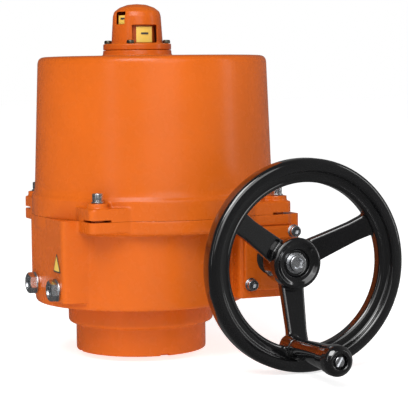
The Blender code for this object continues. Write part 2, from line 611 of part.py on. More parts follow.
def make_motor_train():
    module, y = GEAR_MODULE, GEAR_Y
    reach = (SHAFT_TEETH + IDLER_TEETH) * module / 2
    idler_x, idler_z = polar(reach, IDLER_DIRECTION, (WORM_X, WORM_Z))
    reach = (IDLER_TEETH + MOTOR_TEETH) * module / 2
    motor_x, motor_z = polar(reach, MOTOR_DIRECTION, (idler_x, idler_z))

    idler_phase = IDLER_DIRECTION + math.pi
    shaft_phase = IDLER_DIRECTION + math.pi / SHAFT_TEETH
    motor_phase = meshing_phase(IDLER_TEETH, idler_phase, MOTOR_TEETH, MOTOR_DIRECTION)
    spur_gear("worm_shaft_gear", SHAFT_TEETH, (WORM_X, y, WORM_Z), shaft_phase, 8.8, STEEL)
    spur_gear("idler_gear", IDLER_TEETH, (idler_x, y, idler_z), idler_phase, 4.3, STEEL)
    spur_gear("motor_pinion", MOTOR_TEETH, (motor_x, y, motor_z), motor_phase, 4.3, STEEL)

    bracket = block("motor_bracket", (18, 42.3, 130.9), (98, 46.3, 212), ZINC)
    cut(bracket,
        rod("bracket_motor_hole", (motor_x, 50, motor_z), 12, 6.5, direction="-Y"),
        rod("bracket_idler_hole", (idler_x, 50, idler_z), 12, 4.3, direction="-Y", sides=SMALL))
    turned("idler_pin", [(0, 24), (6, 24), (6, 21.5), (4, 21.5), (4, 0), (0, 0)],
           (idler_x, 42.3, idler_z), "Y", STEEL, sides=SMALL)

    case = turned(
        "motor_case",
        [(31.5, 102), (34, 100), (34, 2.5), (31.5, 0), (4.4, 0), (4.4, 6), (21, 6), (21, 94), (4.4, 94),
         (4.4, 102)],
        (motor_x, 42.0, motor_z), "-Y", MOTOR, sides=MEDIUM, closed=True)
    smooth(case)
    rotor = [(0, 100), (4, 100), (4, 84), (19, 84), (19, 16), (4, 16), (4, -18), (0, -18)]
    smooth(turned("motor_rotor", rotor, (motor_x, 42.0, motor_z), "-Y", STEEL, sides=MEDIUM))


def make_gear_plate():
    """The steel deck between the gear space and the switch space."""
    deck = rod("gear_plate", (COVER_X, 0, RECESS_Z + GAP), 5, RECESS_R - 0.5, ZINC, sides=LARGE)
    cut(deck,
        rod("deck_shaft_hole", (0, 0, 120), 20, 12),
        block("deck_gear_slot", (36, GEAR_Y - 6.5, 120), (125, GEAR_Y + 6.5, 140)),
        block("deck_cable_slot", (-84, -16, 120), (-72, 16, 140)))


def make_controls():
    deck_top = RECESS_Z + GAP + 5
    floor = deck_top + GAP
    block("terminal_strip", (-69, -40, floor), (-53, 40, floor + 16), GREY)
    block("control_board", (-43, 28, floor + 1), (-41.4, 84, floor + 70), GREEN)
    block("board_relay_1", (-40.9, 34, floor + 40), (-26, 52, floor + 62), DARK)
    block("board_relay_2", (-40.9, 57, floor + 40), (-26, 75, floor + 62), DARK)
    rod("run_capacitor", (-18, -62, floor), 62, 17, GREY, sides=MEDIUM)
    post = block("switch_bracket", (-50, -14, floor + 1), (-47, 14, floor + 114), ZINC)
    join(post, block("switch_bracket_foot", (-51, -16, floor), (-32, 16, floor + 3)))
    for level, height in CAM_LEVELS.items():
        block(f"limit_switch_{level}", (-46.7, -14, height - 5), (-29.5, 14, height + 5), DARK)
        lever = plate(f"switch_lever_{level}", [(-1.2, -2), (1.2, -2), (4.6, 17), (6.0, 19), (4.6, 20.6),
                                               (2.6, 19)], -2.4, 2.4, ZINC)
        lever.location = Vector((LEVER_X, LEVER_Y, height)) * MM


def make_warning_plate():
    """A plain yellow triangle on the terminal box, with nothing printed on it."""
    side = 20.0
    low, y = 84.0, -51.6
    outline = [(-side / 2, 0), (side / 2, 0), (0, side * math.sqrt(3) / 2)]
    sign = plate("hazard_triangle", outline, 0, 0.4, YELLOW)
    sign.location = Vector((BOX_LEFT - GAP, y, low)) * MM
    sign.rotation_euler = (math.radians(90), 0, math.radians(-90))


clear_scene()
PARTS = new_collection("valve_actuator")
TOOLS = new_collection("valve_actuator_tools")
make_housing()
make_cover()
make_indicator_cap()
make_screws()
make_cable_plugs()
make_seals_and_bearings()
make_shaft_cover()
make_output()
make_worm_shaft()
make_handwheel()
make_motor_train()
make_gear_plate()
make_controls()
make_warning_plate()
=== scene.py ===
"""The looks of the motorized valve actuator: cast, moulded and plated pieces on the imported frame.

Lengths in this file are in millimetres, in the CAD frame: the origin is the centre of the valve
face, +Z runs up the valve stem, and the handwheel shaft runs along -Y.
"""

import json
import math

import bmesh
import bpy
from mathutils import Matrix, Vector


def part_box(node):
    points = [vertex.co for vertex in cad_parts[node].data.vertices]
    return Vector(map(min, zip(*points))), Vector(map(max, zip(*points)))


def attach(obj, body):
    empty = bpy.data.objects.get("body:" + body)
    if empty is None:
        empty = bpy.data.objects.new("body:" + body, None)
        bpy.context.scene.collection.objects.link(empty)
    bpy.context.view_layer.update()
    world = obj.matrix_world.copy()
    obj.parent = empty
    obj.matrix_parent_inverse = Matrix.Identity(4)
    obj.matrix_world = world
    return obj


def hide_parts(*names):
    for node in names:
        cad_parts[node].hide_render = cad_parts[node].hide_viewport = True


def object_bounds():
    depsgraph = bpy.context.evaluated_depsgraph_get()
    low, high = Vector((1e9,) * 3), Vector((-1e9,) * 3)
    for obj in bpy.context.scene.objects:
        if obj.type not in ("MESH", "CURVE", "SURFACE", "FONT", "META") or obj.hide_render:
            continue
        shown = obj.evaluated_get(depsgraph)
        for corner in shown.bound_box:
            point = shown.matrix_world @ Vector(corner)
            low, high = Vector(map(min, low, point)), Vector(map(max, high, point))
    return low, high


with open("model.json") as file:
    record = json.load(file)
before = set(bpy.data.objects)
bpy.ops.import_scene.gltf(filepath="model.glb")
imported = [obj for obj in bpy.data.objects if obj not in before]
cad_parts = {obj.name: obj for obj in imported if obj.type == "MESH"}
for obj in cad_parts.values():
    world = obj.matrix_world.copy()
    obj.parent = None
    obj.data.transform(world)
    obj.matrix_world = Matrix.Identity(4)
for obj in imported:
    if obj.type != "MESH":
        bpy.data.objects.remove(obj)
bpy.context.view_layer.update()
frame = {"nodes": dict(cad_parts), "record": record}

MM = 0.001
GAP = 0.3                    # air between neighbouring castings
FINE, MEDIUM, SMALL = 128, 72, 40      # sides on round shapes, by size
FILLET_STEPS = 6


def span(node):
    """A CAD node's lowest and highest corners, in mm."""
    low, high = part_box(node)
    return low / MM, high / MM


def middle(node):
    low, high = span(node)
    return (low + high) / 2


FAR = 200                    # reaches past the part on every side

# Driving dimensions, read from the frame
COVER_LOW, COVER_HIGH = span("cover")
CAP_LOW, CAP_HIGH = span("indicator_cap")
GRIP_LOW, GRIP_HIGH = span("handle_grip")
PLATE_LOW, PLATE_HIGH = span("shaft_cover")
SEAM_Z = span("housing")[1].z
WORM_X, WORM_Z = middle("shaft_seal").x, middle("shaft_seal").z
HANDLE_X, HANDLE_Z = middle("handle_spindle").x, middle("handle_spindle").z
COVER_X = middle("cover").x
RIM_R = (COVER_HIGH.x - COVER_LOW.x) / 2
EARS = [middle(f"cover_screw_{i}") for i in (1, 2, 3, 4)]
PLATE_SCREWS = [middle(f"shaft_cover_screw_{i}") for i in (1, 2, 3, 4)]
CAP_SCREWS = [middle(f"indicator_screw_{i}") for i in (1, 2, 3, 4)]
PLUGS = [middle(f"cable_plug_{i}") for i in (1, 2)]

# Housing: radii, heights and the sides of its boxes
BOSS_R, BOSS_TOP = 62.5, 27.2
RING_R = 69.8
NECK_R, NECK_BOTTOM = 101.0, 48.0
FLOOR_Z = 56.0
WALL = 8.0
RIM_BOTTOM = 118.5
RECESS_R, RECESS_Z = 104.0, 125.0
EAR_HALF = 100.0             # half the side of the square whose corners are the ears
BOX_LEFT, BOX_FRONT, BOX_BACK = -101.0, -67.5, 30.0
SHAFT_BOX = (61.5, 123.5, -98.0, 75.0)      # left, right, front, back
BORE_R = 30.0
SPIGOT_R = 35.2
FLANGE_HOLES_R, FLANGE_HOLE_R = 51.0, 4.3
SCREW_HOLE_R = 3.4
FRONT_BEARING_R, REAR_BEARING_R = 20, 17.3
ENTRY_R = 8.0

# Cover and indicator
COVER_TOP = 281.5
EAR_TOP, SEAT_TOP = 144.0, 149.0
CAP_SEAT_TOP = 286.6
CAP_FLANGE_TOP = 292.7
SEAT_R = 9.5                 # the raised round under each cover screw
BARREL_R, SHAFT_HOLE_R = 17.4, 6.3
FLAG_INNER_R = 17.9
# Each flag's level, its middle and half width in degrees, and its thickness
FLAGS = (("lower", -90, 23, 2.5), ("upper", -151, 21, 1.8))

# Warning plate
ROUNDED_PART = 0.07          # of its side, at each corner

# Handwheel
HUB_R, HUB_FRONT, HUB_BACK = 23.4, 157.0, 127.5
SPOKE_ANGLES = (-93.4, 26.6, 146.6)
SPOKE_START, SPOKE_END = 12, 80            # from the wheel's axis
SPOKE_AT_HUB, SPOKE_RISE = 141, 25         # the arm's middle at its start, and its dish
SPOKE_HALF_THICK, SPOKE_ROUNDING = 4.8, 2.0

# Worm shaft and output drive
WORM_R, WORM_MODULE, WORM_TURNS = 17.5, 3.75, 3.75
WORM_ADDENDUM, WORM_DEDENDUM = 3.0, 4.125
WORM_BACKLASH = 0.15
WORM_STEPS = 48              # thread sections in one turn
PRESSURE_ANGLE = math.radians(20)
SOCKET = 27.0                # the square for the valve stem

# Stage, light and camera, in metres and degrees
FLOOR_GLOW, FILL_LIGHT, MIRRORED_LIGHT = 0.75, 0.2, (0.1, 0.25)
LIT_POINT = (0.03, -0.02, 0.16)
SUN_FROM, SUN_POWER, SUN_WIDTH = (-0.1, -0.85, 0.5), 0.7, 40
CAMERA_AT = (-0.568, -1.4866, 0.2674)
CAMERA_AZIMUTH, CAMERA_ELEVATION, CAMERA_ROLL = -23.155, 4.710, -0.610
LENS, SENSOR = 145.92, 36.0


# ---------------------------------------------------------------- shapes

def mesh_object(name, shape):
    """Makes an object from a bmesh in mm."""
    bmesh.ops.scale(shape, vec=(MM, MM, MM), verts=shape.verts)
    bmesh.ops.recalc_face_normals(shape, faces=shape.faces)
    mesh = bpy.data.meshes.new(name)
    shape.to_mesh(mesh)
    shape.free()
    thing = bpy.data.objects.new(name, mesh)
    bpy.context.scene.collection.objects.link(thing)
    return thing


TURNS = {"Z": Matrix(), "-Y": Matrix.Rotation(math.pi / 2, 4, "X"),
         "-X": Matrix.Rotation(-math.pi / 2, 4, "Y")}


def aim(shape, at, direction):
    """Turns a bmesh so its Z points along direction, then moves it."""
    bmesh.ops.transform(shape, matrix=Matrix.Translation(at) @ TURNS[direction],
                        verts=shape.verts)


def placed(thing, at, direction):
    """Turns an object's mesh so its Z points along direction, then moves it."""
    thing.data.transform(Matrix.Translation(Vector(at) * MM) @ TURNS[direction])


def filleted(points, closed):
    """Rounds the corners of a profile; a point may carry a third value, its corner radius."""
    out = []
    count = len(points)
    for i, point in enumerate(points):
        radius = point[2] if len(point) > 2 else 0
        here = Vector(point[:2])
        if not radius or (not closed and i in (0, count - 1)):
            out.append(here)
            continue
        before = Vector(points[i - 1][:2]) - here
        after = Vector(points[(i + 1) % count][:2]) - here
        half = before.angle(after) / 2
        reach = min(radius / math.tan(half), before.length * 0.49, after.length * 0.49)
        start, end = here + before.normalized() * reach, here + after.normalized() * reach
        for step in range(FILLET_STEPS + 1):
            t = step / FILLET_STEPS
            out.append(start * (1 - t) ** 2 + here * 2 * t * (1 - t) + end * t ** 2)
    return out


def lathe(name, profile, at=(0, 0, 0), direction="Z", sides=FINE, closed=False):
    """Turns a profile of (radius, height[, corner radius]) points about an axis."""
    points = filleted(profile, closed)
    shape = bmesh.new()
    rings = []
    for radius, height in points:
        if radius < 1e-6:
            rings.append([shape.verts.new((0, 0, height))])
        else:
            rings.append([shape.verts.new((radius * math.cos(2 * math.pi * i / sides),
                                           radius * math.sin(2 * math.pi * i / sides), height))
                          for i in range(sides)])
    for first, second in zip(rings, rings[1:] + ([rings[0]] if closed else [])):
        for i in range(sides):
            j = (i + 1) % sides
            corners = list(dict.fromkeys([
                first[i % len(first)], first[j % len(first)],
                second[j % len(second)], second[i % len(second)]]))
            if len(corners) > 2:
                shape.faces.new(corners)
    aim(shape, at, direction)
    return mesh_object(name, shape)


def rod(name, at, length, radius, direction="Z", sides=MEDIUM):
    return lathe(name, [(0, 0), (radius, 0), (radius, length), (0, length)], at, direction, sides)


def tube(name, inner, outer, low, high, at=(0, 0, 0), direction="Z", sides=MEDIUM, corner=0.4):
    profile = [(outer, high, corner), (outer, low, corner), (inner, low, corner),
               (inner, high, corner)]
    return lathe(name, profile, at, direction, sides, closed=True)


def box(name, low, high, bevel=0.0, upright_only=False, steps=4):
    low, high = Vector(low), Vector(high)
    shape = bmesh.new()
    bmesh.ops.create_cube(shape, size=1)
    bmesh.ops.scale(shape, vec=high - low, verts=shape.verts)
    if bevel:
        edges = [e for e in shape.edges
                 if not upright_only or abs(e.verts[0].co.z - e.verts[1].co.z) > 0.1]
        bmesh.ops.bevel(shape, geom=edges, offset=bevel, segments=steps, profile=0.5,
                        affect="EDGES")
    bmesh.ops.translate(shape, vec=(low + high) / 2, verts=shape.verts)
    return mesh_object(name, shape)


def prism(name, outline, low, high, at=(0, 0, 0), direction="Z"):
    """A flat outline with thickness."""
    shape = bmesh.new()
    bottom = [shape.verts.new((x, y, low)) for x, y in outline]
    top = [shape.verts.new((x, y, high)) for x, y in outline]
    for i in range(len(outline)):
        j = (i + 1) % len(outline)
        shape.faces.new((bottom[i], bottom[j], top[j], top[i]))
    shape.faces.new(top)
    shape.faces.new(bottom)
    aim(shape, at, direction)
    return mesh_object(name, shape)


def polar(radius, degrees):
    return radius * math.cos(math.radians(degrees)), radius * math.sin(math.radians(degrees))


def hexagon(across, turn=0):
    return [polar(across / math.sqrt(3), turn + 60 * i) for i in range(6)]


def rounded_rectangle(width, height, corner, steps=8):
    outline = []
    for turn, sx, sy in ((0, 1, 1), (90, -1, 1), (180, -1, -1), (270, 1, -1)):
        centre = Vector((sx * (width / 2 - corner), sy * (height / 2 - corner)))
        outline += [tuple(centre + Vector(polar(corner, turn + 90 * i / steps)))
                    for i in range(steps + 1)]
    return outline


def turned_about_z(thing, degrees, about=(0, 0)):
    """Turns an object's mesh about an upright axis."""
    centre = Vector((about[0], about[1], 0)) * MM
    thing.data.transform(Matrix.Translation(centre) @ Matrix.Rotation(math.radians(degrees), 4, "Z")
                         @ Matrix.Translation(-centre))
    return thing


# ---------------------------------------------------------------- combining

def applied(thing):
    """Replaces an object's mesh by what its modifiers make of it."""
    graph = bpy.context.evaluated_depsgraph_get()
    made = bpy.data.meshes.new_from_object(thing.evaluated_get(graph))
    thing.modifiers.clear()
    thing.data = made


def combined(base, operation, tools, solver="EXACT"):
    """Adds, cuts or intersects base with tools, which are used up. MANIFOLD suits dense meshes."""
    for tool in tools:
        step = base.modifiers.new(operation, "BOOLEAN")
        step.operation = operation
        step.object = tool
        step.solver = solver
    applied(base)
    for tool in tools:
        bpy.data.objects.remove(tool, do_unlink=True)
    return base


def fused(base, *tools):
    return combined(base, "UNION", tools)


def carved(base, *tools):
    return combined(base, "DIFFERENCE", tools)


def machined(base, *tools):
    """Cuts crisp faces and holes in a dense, closed casting."""
    return combined(base, "DIFFERENCE", tools, "MANIFOLD")


def cast(thing, grain, softening=6):
    """Remeshes a solid evenly and softens it: edges round over and inner corners fill."""
    remesh = thing.modifiers.new("Even", "REMESH")
    remesh.mode = "VOXEL"
    remesh.voxel_size = grain * MM
    soften = thing.modifiers.new("Soften", "SMOOTH")
    soften.factor = 0.5
    soften.iterations = softening
    applied(thing)


def softened(thing, width, steps=3, angle=40):
    """Rounds the sharp edges of a simple solid."""
    bevel = thing.modifiers.new("Round", "BEVEL")
    bevel.width = width * MM
    bevel.segments = steps
    bevel.limit_method = "ANGLE"
    bevel.angle_limit = math.radians(angle)
    applied(thing)


def joined(base, *others):
    """Puts several closed shells in one object."""
    shape = bmesh.new()
    for thing in (base, *others):
        shape.from_mesh(thing.data)
    shape.to_mesh(base.data)
    shape.free()
    for thing in others:
        bpy.data.objects.remove(thing, do_unlink=True)


def smoothed(thing, degrees=35):
    thing.data.shade_smooth()
    thing.data.set_sharp_from_angle(angle=math.radians(degrees))


def finished(thing, look, body, slot, *nodes):
    """Gives a piece its material and body, and names the CAD nodes it stands for; slot is not used.
    """
    thing.data.materials.clear()
    thing.data.materials.append(LOOKS[look])
    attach(thing, body)
    if nodes:
        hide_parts(*nodes)


# ---------------------------------------------------------------- materials

COAT_ROUGHNESS = 0.06


def surface(name, colour, roughness, metallic=0.0, coat=0.0, specular=0.5, mottle=0.12,
            mottle_size=40.0, rough_spread=0.06, bump=0.0, bump_size=0.8, stretch=(1, 1, 1)):
    """A painted, moulded or plated finish.

    mottle is how far the colour wanders and mottle_size how wide, in mm; rough_spread is how far
    the roughness wanders; bump is the depth and bump_size the width of the fine grain, in mm.
    stretch squeezes the pattern along an axis.
    """
    material = bpy.data.materials.new(name)
    material.use_nodes = True
    nodes, links = material.node_tree.nodes, material.node_tree.links
    shader = nodes["Principled BSDF"]
    shader.inputs["Metallic"].default_value = metallic
    shader.inputs["Specular IOR Level"].default_value = specular
    shader.inputs["Coat Weight"].default_value = coat
    shader.inputs["Coat Roughness"].default_value = COAT_ROUGHNESS

    place = nodes.new("ShaderNodeTexCoord")
    stretched = nodes.new("ShaderNodeMapping")
    stretched.inputs["Scale"].default_value = stretch
    links.new(place.outputs["Object"], stretched.inputs["Vector"])

    def noise(size, detail):
        node = nodes.new("ShaderNodeTexNoise")
        node.inputs["Scale"].default_value = 1 / (size * MM)
        node.inputs["Detail"].default_value = detail
        links.new(stretched.outputs["Vector"], node.inputs["Vector"])
        return node.outputs["Fac"]

    patches = noise(mottle_size, 4)
    ramp = nodes.new("ShaderNodeValToRGB")
    ramp.color_ramp.elements[0].position = 0.3
    ramp.color_ramp.elements[1].position = 0.7
    ramp.color_ramp.elements[0].color = (*[c * (1 - mottle) for c in colour], 1)
    ramp.color_ramp.elements[1].color = (*[min(1, c * (1 + mottle)) for c in colour], 1)
    links.new(patches, ramp.inputs["Fac"])
    links.new(ramp.outputs["Color"], shader.inputs["Base Color"])

    wander = nodes.new("ShaderNodeMapRange")
    wander.inputs["To Min"].default_value = max(0.02, roughness - rough_spread)
    wander.inputs["To Max"].default_value = roughness + rough_spread
    links.new(noise(mottle_size / 5, 3), wander.inputs["Value"])
    links.new(wander.outputs["Result"], shader.inputs["Roughness"])

    if bump:
        relief = nodes.new("ShaderNodeBump")
        relief.inputs["Strength"].default_value = 1.0
        relief.inputs["Distance"].default_value = bump * MM
        links.new(noise(bump_size, 2), relief.inputs["Height"])
        links.new(relief.outputs["Normal"], shader.inputs["Normal"])
    return material


LOOKS = {
    "orange": surface("orange_enamel", (0.56, 0.105, 0.007), 0.27, specular=0.28, mottle=0.05,
                      mottle_size=60, bump=0.035, bump_size=1.6),
    "phenolic": surface("black_phenolic", (0.003, 0.003, 0.0033), 0.13, specular=0.6, coat=0.8,
                        mottle=0.2, mottle_size=30, rough_spread=0.03, bump=0.012, bump_size=6),
    "zinc": surface("bright_zinc", (0.66, 0.67, 0.69), 0.26, metallic=1, mottle=0.12, mottle_size=5,
                    rough_spread=0.1, bump=0.02, bump_size=0.6),
    "steel": surface("machined_steel", (0.42, 0.43, 0.45), 0.34, metallic=1, mottle=0.1,
                     mottle_size=8, rough_spread=0.08, bump=0.015, bump_size=0.4),
    "bronze": surface("cast_bronze", (0.58, 0.34, 0.12), 0.36, metallic=1, mottle=0.15,
                      mottle_size=12, rough_spread=0.08, bump=0.02, bump_size=0.6),
    "rubber": surface("nitrile_rubber", (0.018, 0.018, 0.018), 0.78, mottle=0.2, mottle_size=6,
                      bump=0.03, bump_size=0.5),
    "yellow": surface("yellow_plastic", (0.8, 0.54, 0.09), 0.4, mottle=0.05, mottle_size=10,
                      bump=0.01, bump_size=0.7),
    "barrel": surface("rust_plastic", (0.55, 0.09, 0.008), 0.5, mottle=0.1, mottle_size=8,
                      bump=0.02, bump_size=0.5),
    "dulled": surface("dulled_steel", (0.13, 0.12, 0.09), 0.36, metallic=1, mottle=0.2,
                      mottle_size=3, rough_spread=0.1, bump=0.02, bump_size=0.5),
    "dark": surface("dark_plastic", (0.035, 0.035, 0.04), 0.48, mottle=0.15, mottle_size=10,
                    bump=0.02, bump_size=0.5),
    "grey": surface("grey_plastic", (0.33, 0.34, 0.35), 0.5, mottle=0.06, mottle_size=12,
                    bump=0.015, bump_size=0.6),
    "board": surface("board_laminate", (0.015, 0.16, 0.06), 0.42, coat=0.3, mottle=0.35,
                     mottle_size=3, bump=0.02, bump_size=1.2),
    "motor": surface("motor_enamel", (0.09, 0.10, 0.11), 0.42, metallic=0.2, mottle=0.1,
                     mottle_size=20, bump=0.03, bump_size=1.0),
    "gearplate": surface("plated_deck", (0.6, 0.58, 0.5), 0.34, metallic=1, mottle=0.1,
                         mottle_size=25, rough_spread=0.1, bump=0.01, bump_size=0.8,
                         stretch=(1, 8, 1)),
}

SLOT_LOOKS = {
    "orange_enamel": "orange", "black_phenolic": "phenolic", "bright_zinc": "zinc",
    "machined_steel": "steel", "bronze": "bronze", "black_rubber": "rubber",
    "yellow_plastic": "yellow", "dark_plastic": "dark",
    "grey_plastic": "grey", "green_board": "board", "motor_enamel": "motor",
}


def dress_cad_nodes():
    """Every CAD node that stays in view gets the procedural finish of its slot."""
    slots = {row["node"]: row["material_slot"] for row in frame["record"]["subparts"]}
    for name, thing in frame["nodes"].items():
        look = LOOKS["gearplate" if name == "gear_plate" else SLOT_LOOKS[slots[name]]]
        thing.data.materials.clear()
        thing.data.materials.append(look)


# ---------------------------------------------------------------- castings

def make_housing():
    """The lower casting: a round neck, a terminal box, a shaft box and a square-eared rim."""
    body = lathe("housing_casting", [
        (NECK_R, RIM_BOTTOM + 4), (NECK_R, NECK_BOTTOM + 0.5, 4),
        (RING_R + 1, NECK_BOTTOM + 0.3, 1), (RING_R, NECK_BOTTOM - 3), (RING_R, BOSS_TOP, 5),
        (BOSS_R, BOSS_TOP + 0.1, 1.5), (BOSS_R, 0.2, 2),
        (BORE_R, 0.2), (BORE_R, RIM_BOTTOM + 4)], closed=True)
    rim = lathe("rim_form", [(0, SEAM_Z + 1), (RIM_R, SEAM_Z + 1), (RIM_R, RIM_BOTTOM + 0.3, 4),
                             (0, RIM_BOTTOM + 0.2)], at=(COVER_X, 0, 0))
    ears = box("ear_form", (COVER_X - EAR_HALF, -EAR_HALF, RIM_BOTTOM + 3.2),
               (COVER_X + EAR_HALF, EAR_HALF, SEAM_Z + 2), bevel=5, upright_only=True)
    terminal_box = box("terminal_box_form", (BOX_LEFT, BOX_FRONT, FLOOR_Z),
                       (-40, BOX_BACK, SEAM_Z + 3), bevel=4.5, upright_only=True, steps=6)
    left, right, front, back = SHAFT_BOX
    shaft_box = box("shaft_box_form", (left, front, 54.6), (right, back, SEAM_Z + 4), bevel=4,
                    upright_only=True, steps=5)
    fused(body, rim, ears, terminal_box, shaft_box)
    carved(
        body,
        box("rough_trim", (-FAR, -FAR, SEAM_Z + 4), (FAR, FAR, SEAM_Z + 20)),
        rod("neck_hollow", (0, 0, FLOOR_Z), RECESS_Z + 0.5 - FLOOR_Z, NECK_R - WALL, sides=FINE),
        rod("cover_recess", (COVER_X, 0, RECESS_Z), 30, RECESS_R, sides=FINE),
        box("terminal_hollow", (BOX_LEFT + 7, BOX_FRONT + 7, FLOOR_Z + 7),
            (-45, BOX_BACK - 7, RIM_BOTTOM)),
        box("shaft_hollow", (left + 6, front + 7, FLOOR_Z + 6), (right - 6, back - 7, RIM_BOTTOM)),
        box("gear_slot", (40, 47.5, 100), (101, 60.5, RECESS_Z + 2)),
    )
    fused(body, box("bearing_web", (73.5, 32.5, FLOOR_Z + 2), (right - 3, 43.5, RIM_BOTTOM + 2)))
    cast(body, 1.1, 6)
    cutters = [
        box("seam_trim", (-FAR, -FAR, SEAM_Z - 0.05), (FAR, FAR, SEAM_Z + 20)),
        rod("rear_bearing_bore", (WORM_X, 46, WORM_Z), 16, REAR_BEARING_R, "-Y"),
        rod("front_bearing_bore", (WORM_X, -85, WORM_Z), 20, FRONT_BEARING_R, "-Y"),
        tube("gasket_groove", 109.4, 113.6, SEAM_Z - 2.6, SEAM_Z + 1, at=(COVER_X, 0, 0),
             sides=FINE, corner=0),
        rod("spigot_recess", (0, 0, -1), 4, SPIGOT_R),
        box("plate_pocket", (PLATE_LOW.x - 0.5, -115, 110),
            (PLATE_HIGH.x + 3.5, front - 0.2, 122.8)),
    ]
    for i in range(4):
        x, y = polar(FLANGE_HOLES_R, 45 + 90 * i)
        cutters.append(rod(f"flange_hole_{i}", (x, y, -1), 21, FLANGE_HOLE_R, sides=SMALL))
        notch = box(f"notch_{i}", (56, -4.5, -1), (66, 4.5, 2.6), bevel=0.8)
        cutters.append(turned_about_z(notch, 90 * i))
    for i, ear in enumerate(EARS):
        cutters.append(rod(f"ear_hole_{i}", (ear.x, ear.y, SEAM_Z - 9), 12, SCREW_HOLE_R,
                           sides=SMALL))
    for i, screw in enumerate(PLATE_SCREWS):
        cutters.append(rod(f"plate_hole_{i}", (screw.x, front + 6, screw.z), 10, SCREW_HOLE_R,
                           "-Y", SMALL))
    for i, plug in enumerate(PLUGS):
        cutters.append(rod(f"entry_{i}", (BOX_LEFT + 10, plug.y, plug.z), 12, ENTRY_R, "-X",
                           SMALL))
    machined(body, *cutters)
    smoothed(body, 50)
    finished(body, "orange", "housing", "orange_enamel", "housing")


def make_cover():
    bottom = COVER_LOW.z
    shell = lathe("cover_casting", [
        (0, COVER_TOP), (96, COVER_TOP - 0.3), (109.5, COVER_TOP - 0.8, 9.5), (114.3, 158, 6),
        (115.3, 152.6, 2.5), (RIM_R, 150.2, 2), (RIM_R, bottom - 4),
        (108, bottom - 4), (108, 150), (104.8, 270), (99, COVER_TOP - 5.4), (0, COVER_TOP - 5)],
        at=(COVER_X, 0, 0))
    ears = box("cover_ears", (COVER_X - EAR_HALF, -EAR_HALF, bottom - 3.5),
               (COVER_X + EAR_HALF, EAR_HALF, EAR_TOP), bevel=5, upright_only=True)
    added = [ears]
    for i, ear in enumerate(EARS):
        added.append(rod(f"screw_seat_{i}", (ear.x, ear.y, bottom + 1), SEAT_TOP - bottom - 1,
                         SEAT_R, sides=SMALL))
        rib = box(f"screw_rib_{i}", (ear.x - 8.6, ear.y - 20, bottom + 2),
                  (ear.x + 8.6, ear.y, SEAT_TOP - 0.6))
        outward = math.degrees(math.atan2(ear.y, ear.x - COVER_X)) - 90
        added.append(turned_about_z(rib, outward, (ear.x, ear.y)))
    fused(shell, *added)
    carved(shell, rod("cover_hollow", (COVER_X, 0, bottom - 5), 22.7, 109.5, sides=FINE))
    cast(shell, 1.0, 5)
    seat = lathe("indicator_seat", [
        (0, COVER_TOP - 3.4), (33.8, COVER_TOP - 3.4), (33.8, COVER_TOP + 0.3, 1.0),
        (32.9, COVER_TOP + 1.2, 0.8), (32.5, CAP_SEAT_TOP, 0.9), (0, CAP_SEAT_TOP)], sides=FINE)
    combined(shell, "UNION", [seat], solver="MANIFOLD")
    cutters = [
        box("cover_trim", (-FAR, -FAR, bottom - 20), (FAR, FAR, bottom - 0.1)),
        box("seat_trim", (-60, -60, CAP_SEAT_TOP), (60, 60, CAP_SEAT_TOP + 9)),
        rod("indicator_hole", (0, 0, COVER_TOP - 20), 40, 10.5),
        rod("indicator_recess", (0, 0, CAP_SEAT_TOP - 2), 4, 25),
    ]
    for i, ear in enumerate(EARS):
        side_x, side_y = math.copysign(2, ear.x - COVER_X), math.copysign(2, ear.y)
        slot = box(f"pry_slot_{i}", (ear.x - 11 + side_x, ear.y - 11 + side_y, bottom - 1),
                   (ear.x + 11 + side_x, ear.y + 11 + side_y, bottom + 1.8))
        boss = rod(f"slot_boss_{i}", (ear.x, ear.y, bottom - 3), 8, 6.2, sides=SMALL)
        cutters.append(carved(slot, boss))
        cutters.append(rod(f"cover_hole_{i}", (ear.x, ear.y, bottom - 1), 30, SCREW_HOLE_R,
                           sides=SMALL))
    for i, screw in enumerate(CAP_SCREWS):
        cutters.append(rod(f"cap_thread_{i}", (screw.x, screw.y, COVER_TOP - 1), 10, 2.3,
                           sides=SMALL))
    machined(shell, *cutters)
    smoothed(shell, 50)
    finished(shell, "orange", "housing", "orange_enamel", "cover")


def make_indicator_cap():
    base = CAP_LOW.z
    top = CAP_HIGH.z
    cap = lathe("indicator_dome", [
        (0, top - 0.1), (9, top - 0.9), (16.5, top - 3.6), (21.6, top - 7.4, 4),
        (22.9, top - 12, 5), (24.6, CAP_FLANGE_TOP, 1.2), (32.5, CAP_FLANGE_TOP, 1.1),
        (32.5, base, 0.5), (22.2, base), (22.2, CAP_FLANGE_TOP), (20.9, 321.5), (17, 325),
        (0, 327.2)], sides=MEDIUM)
    cutters = []
    for i in range(2):
        low = box(f"low_window_{i}", (-12.6, -30, CAP_FLANGE_TOP + 0.9), (12.6, -15, 310.2),
                  bevel=1.2, steps=3)
        high = box(f"high_window_{i}", (-6.2, -30, 311), (6.2, -14, 323), bevel=1.0, steps=3)
        cutters += [turned_about_z(low, 180 * i), turned_about_z(high, 180 * i - 67)]
    for i, screw in enumerate(CAP_SCREWS):
        cutters.append(rod(f"cap_hole_{i}", (screw.x, screw.y, base - 1), 10, 2.4, sides=SMALL))
    carved(cap, *cutters)
    cast(cap, 0.45, 4)
    smoothed(cap, 60)
    finished(cap, "orange", "housing", "orange_enamel", "indicator_cap")


